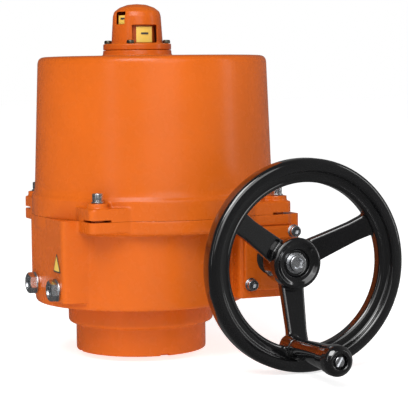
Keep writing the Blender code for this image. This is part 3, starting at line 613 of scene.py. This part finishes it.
def make_shaft_cover():
    low, high = PLATE_LOW, PLATE_HIGH
    outline = rounded_rectangle(high.x - low.x, high.z - low.z, 5.5)
    plate = prism("shaft_cover_plate", outline, 0, high.y - low.y,
                  ((low.x + high.x) / 2, high.y, (low.z + high.z) / 2), "-Y")
    softened(plate, 0.9)
    cutters = [rod("plate_bore", (WORM_X, high.y + 4, WORM_Z), 20, 16, "-Y")]
    for i, screw in enumerate(PLATE_SCREWS):
        cutters.append(rod(f"plate_clear_{i}", (screw.x, high.y + 4, screw.z), 20, SCREW_HOLE_R,
                           "-Y", SMALL))
    carved(plate, *cutters)
    smoothed(plate, 30)
    finished(plate, "orange", "housing", "orange_enamel", "shaft_cover")


# ---------------------------------------------------------------- fasteners

def socket_screw(node, direction, name, head_r, head_h, washer_r, washer_h, shank_r, seat,
                 length, socket, look="zinc", crown=0.8):
    """A socket head screw on a spring washer and a plain washer, which washer_h 0 leaves out."""
    flat, split = washer_h * 0.45, washer_h * 0.5
    head = lathe(name, [
        (0, washer_h), (0.1, washer_h), (head_r, washer_h, 0.25),
        (head_r, washer_h + head_h, crown), (0, washer_h + head_h)], sides=SMALL)
    carved(head, prism(name + "_socket", hexagon(socket, 12), washer_h + head_h * 0.4,
                       washer_h + head_h + 2))
    parts = [lathe(name + "_shank", [(0, -length), (shank_r, -length, 0.5),
                                     (shank_r, washer_h + 0.2), (0, washer_h + 0.2)],
                   sides=SMALL)]
    if washer_h:
        parts.append(tube(name + "_flat", shank_r + 0.1, washer_r, 0, flat, sides=SMALL,
                          corner=0.2))
        parts.append(tube(name + "_split", shank_r + 0.1, head_r - 0.2, flat + 0.05,
                          flat + split, sides=SMALL, corner=0.15))
    joined(head, *parts)
    placed(head, seat, direction)
    smoothed(head, 32)
    finished(head, look, "housing", "bright_zinc", node)


def make_screws():
    for i, ear in enumerate(EARS, 1):
        node = f"cover_screw_{i}"
        seat_z = SEAT_TOP + GAP
        socket_screw(node, "Z", f"cover_cap_screw_{i}", head_r=5.0, head_h=6.0, washer_r=6.0,
                     washer_h=2.6, shank_r=3.0, seat=(ear.x, ear.y, seat_z),
                     length=seat_z - span(node)[0].z, socket=5.0)
    for i, screw in enumerate(PLATE_SCREWS, 1):
        node = f"shaft_cover_screw_{i}"
        seat_y = PLATE_LOW.y - GAP
        socket_screw(node, "-Y", f"plate_cap_screw_{i}", head_r=5.2, head_h=4.5, washer_r=6.2,
                     washer_h=1.2, shank_r=3.0, seat=(screw.x, seat_y, screw.z),
                     length=span(node)[1].y - seat_y, socket=4.6)
    for i, screw in enumerate(CAP_SCREWS, 1):
        node = f"indicator_screw_{i}"
        seat_z = CAP_FLANGE_TOP + GAP
        socket_screw(node, "Z", f"dome_screw_{i}", head_r=3.6, head_h=3.2, washer_r=3.6,
                     washer_h=0, shank_r=2.0, seat=(screw.x, screw.y, seat_z),
                     length=seat_z - span(node)[0].z, socket=2.4, look="dulled", crown=1.7)


def make_cable_plugs():
    for i, plug in enumerate(PLUGS, 1):
        node = f"cable_plug_{i}"
        depth = BOX_LEFT - GAP - span(node)[0].x
        body = lathe(f"entry_plug_{i}", [
            (0, 0), (10.4, 0, 0.3), (10.4, 1.7, 0.5), (0, 1.7)], sides=MEDIUM)
        hexes = prism(f"plug_hex_{i}", hexagon(17.4, 8), 1.0, depth)
        dome = lathe(f"plug_dome_{i}", [(0, 0.5), (10.3, 0.5), (10.3, depth - 1.6),
                                        (8.7, depth - 0.1, 1.2), (0, depth)], sides=MEDIUM)
        combined(hexes, "INTERSECT", [dome])
        fused(body, hexes)
        carved(body, rod(f"plug_dish_{i}", (0, 0, depth - 1.2), 5, 6.6, sides=MEDIUM),
               prism(f"plug_socket_{i}", hexagon(8.2, 20), depth - 5.4, depth + 2))
        joined(body, lathe(f"plug_shank_{i}", [(0, -9), (7.6, -9, 0.6), (7.6, 0.4), (0, 0.4)],
                           sides=MEDIUM))
        placed(body, (BOX_LEFT - GAP, plug.y, plug.z), "-X")
        smoothed(body, 28)
        finished(body, "zinc", "housing", "bright_zinc", node)


# ---------------------------------------------------------------- handwheel

def make_spoke(i, angle):
    """A flat arm, dished forward from the hub to the rim and widest at both ends."""
    edge = [(SPOKE_START, 12), (40, 10.4), (60, 9.5), (72, 10.2), (SPOKE_END, 12.5)]
    outline = [(x, -y) for x, y in edge] + edge[::-1]
    arm = prism(f"spoke_{i}", outline, -SPOKE_HALF_THICK, SPOKE_HALF_THICK)
    softened(arm, SPOKE_ROUNDING)
    for vertex in arm.data.vertices:
        along = (vertex.co.x / MM - SPOKE_START) / (SPOKE_END - SPOKE_START)
        vertex.co.z += (SPOKE_AT_HUB + SPOKE_RISE * along) * MM
    arm.data.transform(Matrix.Translation(Vector((WORM_X, 0, WORM_Z)) * MM) @ TURNS["-Y"]
                       @ Matrix.Rotation(math.radians(angle), 4, "Z"))
    return arm


def make_handwheel():
    at = (WORM_X, 0, WORM_Z)
    rim_profile = [
        (96.2, 179.3, 9), (84.9, 179.3, 7.5), (84.4, 174.6, 1.4), (78.6, 173.4, 1.2),
        (77.2, 174.2, 1.2), (74.4, 172.4, 2.6), (74.6, 162.5, 4), (79.5, 158.0, 3),
        (96.2, 158.0, 9.5)]
    hub_profile = [
        (0, HUB_FRONT - 6), (12.4, HUB_FRONT - 6, 0.6), (12.9, HUB_FRONT - 2.6, 0.9),
        (16.5, HUB_FRONT - 2.4, 2), (20.3, HUB_FRONT, 1.6), (HUB_R, HUB_FRONT - 0.8, 1.8),
        (HUB_R, 146.5, 1.5), (21.5, 145, 1), (21.5, HUB_BACK, 1.5), (0, HUB_BACK)]
    wheel = lathe("handwheel_moulding", rim_profile, at, "-Y", closed=True)
    hub = lathe("hub_form", hub_profile, at, "-Y", sides=MEDIUM)
    boss = lathe("handle_boss", [(0, 160), (9.2, 160), (9.2, 179.9, 1.2), (0, 179.9)],
                 (HANDLE_X, 0, HANDLE_Z), "-Y", sides=SMALL)
    fused(wheel, *[make_spoke(i, angle) for i, angle in enumerate(SPOKE_ANGLES)], hub, boss)
    cast(wheel, 0.85, 8)
    crisp = [lathe("turned_rim", rim_profile, at, "-Y", closed=True),
             lathe("turned_hub", hub_profile, at, "-Y", sides=FINE)]
    combined(wheel, "UNION", crisp, solver="MANIFOLD")
    machined(wheel, rod("hub_bore", (WORM_X, -120, WORM_Z), 40, 8.0, "-Y", SMALL),
             rod("spindle_bore", (HANDLE_X, -168, HANDLE_Z), 20, 4.4, "-Y", SMALL))
    smoothed(wheel, 60)
    finished(wheel, "phenolic", "handwheel_shaft", "black_phenolic", "handwheel")

    low, high = span("hub_bolt")
    depth = high.y - low.y
    bolt = lathe("wheel_bolt", [(0, 1.2), (8.0, 1.2), (8.0, depth, 1.0), (0, depth)],
                 sides=MEDIUM)
    carved(bolt, prism("wheel_bolt_socket", hexagon(8.0, 17), 3.6, 9),
           lathe("wheel_bolt_lead", [(0, 5.4), (4.0, 5.4), (5.4, 7.4), (0, 7.4)], sides=SMALL))
    joined(bolt, lathe("wheel_bolt_washer", [(0, 0), (9.6, 0, 0.3), (9.6, 1.1, 0.4), (0, 1.1)],
                       sides=MEDIUM))
    placed(bolt, (WORM_X, high.y, WORM_Z), "-Y")
    smoothed(bolt, 28)
    finished(bolt, "zinc", "handwheel_shaft", "bright_zinc", "hub_bolt")

    start, length = -GRIP_HIGH.y, GRIP_HIGH.y - GRIP_LOW.y
    grip = lathe("turning_grip", [
        (9.6, length - 0.1, 2.5), (13.6, length - 4, 5.5), (13.7, length - 12, 8),
        (11.4, length - 27, 14), (9.0, 14, 12), (8.3, 5, 4), (9.0, 0.1, 1.2), (4.6, 0.1),
        (4.6, length - 5.4), (6.4, length - 5.4, 0.4), (6.9, length - 0.9, 0.8)],
        (HANDLE_X, -start, HANDLE_Z), "-Y", MEDIUM, closed=True)
    smoothed(grip, 40)
    finished(grip, "phenolic", "grip", "black_phenolic", "handle_grip")

    pin = lathe("grip_spindle", [
        (0, length - 1.6), (4.2, length - 1.8, 0.8), (4.8, length - 3.4, 0.5),
        (4.8, length - 5.0), (4.0, length - 5.0), (4.0, -11), (0, -11)], sides=SMALL)
    slot = box("spindle_slot", (-0.9, -8, length - 3.2), (0.9, 8, length + 1))
    carved(pin, turned_about_z(slot, -32))
    placed(pin, (HANDLE_X, -start, HANDLE_Z), "-Y")
    smoothed(pin, 30)
    finished(pin, "zinc", "handwheel_shaft", "bright_zinc", "handle_spindle")


# ---------------------------------------------------------------- indicator, label and drive ends

def make_indicator_parts():
    low, high = span("indicator_drum")
    drum = lathe("indicator_barrel", [
        (SHAFT_HOLE_R, high.z), (BARREL_R, high.z, 1.0), (BARREL_R, low.z, 0.6),
        (SHAFT_HOLE_R, low.z)], sides=MEDIUM, closed=True)
    smoothed(drum, 40)
    finished(drum, "barrel", "output", "dark_plastic", "indicator_drum")
    for level, turn, half, thickness in FLAGS:
        node = f"position_flag_{level}"
        low, high = span(node)
        outer = FLAG_INNER_R + thickness
        arc = [polar(outer, turn - half + half * i / 10) for i in range(21)]
        arc += [polar(FLAG_INNER_R, turn + half - half * i / 10) for i in range(21)]
        flag = prism(f"flag_{level}", arc, low.z, high.z)
        smoothed(flag, 40)
        finished(flag, "yellow", "output", "yellow_plastic", node)
        middle_z = (low.z + high.z) / 2 + 1
        bar = [polar(outer + 0.35, turn - 10 + i) for i in range(21)]
        bar += [polar(outer - 0.2, turn + 10 - i) for i in range(21)]
        mark = prism(f"flag_mark_{level}", bar, middle_z - 0.9, middle_z + 0.9)
        smoothed(mark, 40)
        finished(mark, "dark", "output", "dark_plastic")


def make_warning_plate():
    """A plain yellow triangle with a dark edge and nothing on it."""
    low, high = span("hazard_triangle")
    side = high.y - low.y
    y = (low.y + high.y) / 2

    def triangle(name, scale, thickness, look, slot, *nodes):
        height = side * math.sqrt(3) / 2
        centre = Vector((0, height / 3))
        corners = [centre + (Vector(corner) - centre) * scale
                   for corner in ((-side / 2, 0), (side / 2, 0), (0, height))]
        rounded = []
        for k, here in enumerate(corners):
            before, after = corners[k - 1], corners[(k + 1) % 3]
            a, b = here + (before - here) * ROUNDED_PART, here + (after - here) * ROUNDED_PART
            rounded += [tuple(a * (1 - t) ** 2 + here * 2 * t * (1 - t) + b * t * t)
                        for t in (0, 0.25, 0.5, 0.75, 1)]
        sign = prism(name, rounded, 0, thickness)
        sign.data.transform(Matrix.Translation(Vector((high.x, y, low.z)) * MM)
                            @ Matrix.Rotation(-math.pi / 2, 4, "Z") @ TURNS["-Y"])
        smoothed(sign, 30)
        finished(sign, look, "housing", slot, *nodes)

    triangle("triangle_edge", 1.0, 0.25, "dark", "dark_plastic")
    triangle("triangle_face", 0.78, 0.4, "yellow", "yellow_plastic", "hazard_triangle")


def make_drive_ends():
    """The parts seen through the valve bore and round the handwheel shaft."""
    low, high = span("output_drive")
    drive = lathe("drive_sleeve", [
        (0, high.z), (24.7, high.z, 0.8), (24.7, 81.9), (36, 81.9, 0.8), (36, 59.1, 0.8),
        (24.7, 59.1), (24.7, low.z, 0.8), (0, low.z)], sides=MEDIUM)
    half = SOCKET / 2
    carved(drive, box("stem_socket", (-half, -half, -2), (half, half, 51.5), bevel=1.0,
                      upright_only=True),
           rod("indicator_bore", (0, 0, 70), 40, SHAFT_HOLE_R, sides=SMALL))
    smoothed(drive, 30)
    finished(drive, "steel", "output", "machined_steel", "output_drive")
    seal = lathe("bore_seal", [
        (25.2, 5.2), (25.2, 11.3), (29.6, 11.4, 0.4), (29.6, 5.0, 0.6), (27.6, 5.0, 0.8),
        (26.2, 7.2, 0.6)], sides=MEDIUM, closed=True)
    smoothed(seal, 40)
    finished(seal, "rubber", "housing", "black_rubber", "output_seal")
    collar = lathe("shaft_lip_seal", [
        (10.4, 99), (15.6, 98.8, 0.3), (15.6, 102.7, 0.6), (13.2, 102.7, 0.6), (12.4, 100.9, 0.4),
        (10.4, 102.3, 0.3)], (WORM_X, 0, WORM_Z), "-Y", MEDIUM, closed=True)
    smoothed(collar, 40)
    finished(collar, "rubber", "housing", "black_rubber", "shaft_seal")


def make_worm_shaft():
    """A turned shaft with one wound thread."""
    core, tip = WORM_R - WORM_DEDENDUM, WORM_R + WORM_ADDENDUM
    lead = math.pi * WORM_MODULE
    shaft = lathe("worm_spindle", [
        (0, 149.5), (7.7, 149.5, 0.6), (7.7, 127), (10, 127, 0.5), (10, 87.5), (13, 87.5, 0.5),
        (13, 80, 0.5), (10, 80), (10, 33), (core, 33, 1), (core, -32, 1), (8.5, -32),
        (8.5, -66, 0.8), (0, -66)], sides=MEDIUM)
    slope = math.tan(PRESSURE_ANGLE)
    half = lead / 4 - WORM_BACKLASH
    root_half, tip_half = half + (WORM_R - core) * slope, half - (tip - WORM_R) * slope
    section = [(core - 0.6, -root_half), (tip, -tip_half), (tip, tip_half), (core - 0.6, root_half)]
    shape = bmesh.new()
    loops = []
    count = round(WORM_TURNS * WORM_STEPS)
    for i in range(count + 1):
        along = lead * WORM_TURNS * (i / count - 0.5)
        angle = math.pi + 2 * math.pi * along / lead
        loops.append([shape.verts.new((r * math.cos(angle), r * math.sin(angle), along + shift))
                      for r, shift in section])
    for first, second in zip(loops, loops[1:]):
        for i in range(4):
            j = (i + 1) % 4
            shape.faces.new((first[i], second[i], second[j], first[j]))
    shape.faces.new(loops[0])
    shape.faces.new(reversed(loops[-1]))
    fused(shaft, mesh_object("thread_form", shape))
    placed(shaft, (WORM_X, 0, WORM_Z), "-Y")
    smoothed(shaft, 30)
    finished(shaft, "steel", "handwheel_shaft", "machined_steel", "worm_shaft")


# ---------------------------------------------------------------- stage, light and camera

def make_stage():
    """A bright floor, and surroundings that differ for what they light, mirror and show."""
    floor = bpy.data.objects.new("floor", bpy.data.meshes.new("floor"))
    shape = bmesh.new()
    bmesh.ops.create_grid(shape, x_segments=1, y_segments=1, size=12)
    shape.to_mesh(floor.data)
    shape.free()
    bpy.context.scene.collection.objects.link(floor)
    floor.location.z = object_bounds()[0][2] - 0.001
    paper = bpy.data.materials.new("pale_floor")
    paper.use_nodes = True
    shader = paper.node_tree.nodes["Principled BSDF"]
    shader.inputs["Base Color"].default_value = (0.8, 0.8, 0.8, 1)
    shader.inputs["Roughness"].default_value = 1.0
    shader.inputs["Specular IOR Level"].default_value = 0.0
    shader.inputs["Emission Color"].default_value = (1, 1, 1, 1)
    shader.inputs["Emission Strength"].default_value = FLOOR_GLOW
    floor.data.materials.append(paper)
    floor.visible_glossy = False

    world = bpy.data.worlds.new("pale_studio")
    bpy.context.scene.world = world
    world.use_nodes = True
    nodes, links = world.node_tree.nodes, world.node_tree.links
    path = nodes.new("ShaderNodeLightPath")
    shade = nodes["Background"].outputs["Background"]
    nodes["Background"].inputs["Color"].default_value = (1, 1, 1, 1)
    nodes["Background"].inputs["Strength"].default_value = FILL_LIGHT
    place, axes, rightward = (nodes.new(kind) for kind in (
        "ShaderNodeTexCoord", "ShaderNodeSeparateXYZ", "ShaderNodeMapRange"))
    links.new(place.outputs["Generated"], axes.inputs["Vector"])
    links.new(axes.outputs["X"], rightward.inputs["Value"])
    rightward.inputs["From Min"].default_value = 0.2      # mirrored light grows to the right
    for end, strength in zip(("To Min", "To Max"), MIRRORED_LIGHT):
        rightward.inputs[end].default_value = strength
    for ray, strength in (("Is Glossy Ray", rightward.outputs["Result"]), ("Is Camera Ray", None)):
        sky, mix = nodes.new("ShaderNodeBackground"), nodes.new("ShaderNodeMixShader")
        sky.inputs["Color"].default_value = (1, 1, 1, 1)
        sky.inputs["Strength"].default_value = 1.0
        if strength:
            links.new(strength, sky.inputs["Strength"])
        links.new(path.outputs[ray], mix.inputs["Fac"])
        links.new(shade, mix.inputs[1])
        links.new(sky.outputs["Background"], mix.inputs[2])
        shade = mix.outputs["Shader"]
    links.new(shade, nodes["World Output"].inputs["Surface"])
    bpy.context.scene.view_settings.view_transform = "Standard"


def area_light(name, at, size, power):
    """A rectangular lamp that faces the part."""
    lamp = bpy.data.lights.new(name, "AREA")
    lamp.shape = "RECTANGLE"
    lamp.size, lamp.size_y = size
    lamp.energy = power
    thing = bpy.data.objects.new(name, lamp)
    bpy.context.scene.collection.objects.link(thing)
    thing.location = at
    thing.rotation_euler = (Vector(LIT_POINT) - Vector(at)).to_track_quat("-Z", "Y").to_euler()


def make_lights():
    """A narrow sun for crisp shadows, with boxes that give the round faces their highlights."""
    sun = bpy.data.lights.new("studio_sun", "SUN")
    sun.energy = SUN_POWER
    sun.angle = math.radians(SUN_WIDTH)
    thing = bpy.data.objects.new("studio_sun", sun)
    bpy.context.scene.collection.objects.link(thing)
    thing.rotation_euler = (-Vector(SUN_FROM)).to_track_quat("-Z", "Y").to_euler()
    area_light("key_box", (-1.05, -1.32, 1.86), (1.3, 1.3), 42)
    area_light("front_softbox", (-0.5, -2.3, 0.7), (1.4, 1.0), 5)
    area_light("left_strip", (-1.6, -0.9, 0.7), (0.2, 1.4), 2)
    area_light("right_strip", (1.7, -1.1, 0.7), (0.2, 1.4), 3.5)


def make_camera():
    """The camera at its worked-out place, aimed by turns about upright, level and lens axes."""
    camera = bpy.data.objects.new("camera", bpy.data.cameras.new("camera"))
    bpy.context.scene.collection.objects.link(camera)
    camera.data.sensor_fit = "HORIZONTAL"
    camera.data.sensor_width = SENSOR
    camera.data.lens = LENS
    camera.data.clip_start, camera.data.clip_end = 0.05, 60
    turn = (Matrix.Rotation(math.radians(CAMERA_AZIMUTH), 4, "Z")
            @ Matrix.Rotation(math.radians(90 - CAMERA_ELEVATION), 4, "X")
            @ Matrix.Rotation(math.radians(CAMERA_ROLL), 4, "Z"))
    camera.matrix_world = Matrix.Translation(CAMERA_AT) @ turn
    bpy.context.scene.camera = camera


dress_cad_nodes()
make_housing()
make_cover()
make_indicator_cap()
make_shaft_cover()
make_screws()
make_cable_plugs()
make_handwheel()
make_indicator_parts()
make_warning_plate()
make_drive_ends()
make_worm_shaft()
make_stage()
make_lights()
make_camera()

bpy.context.view_layer.update()
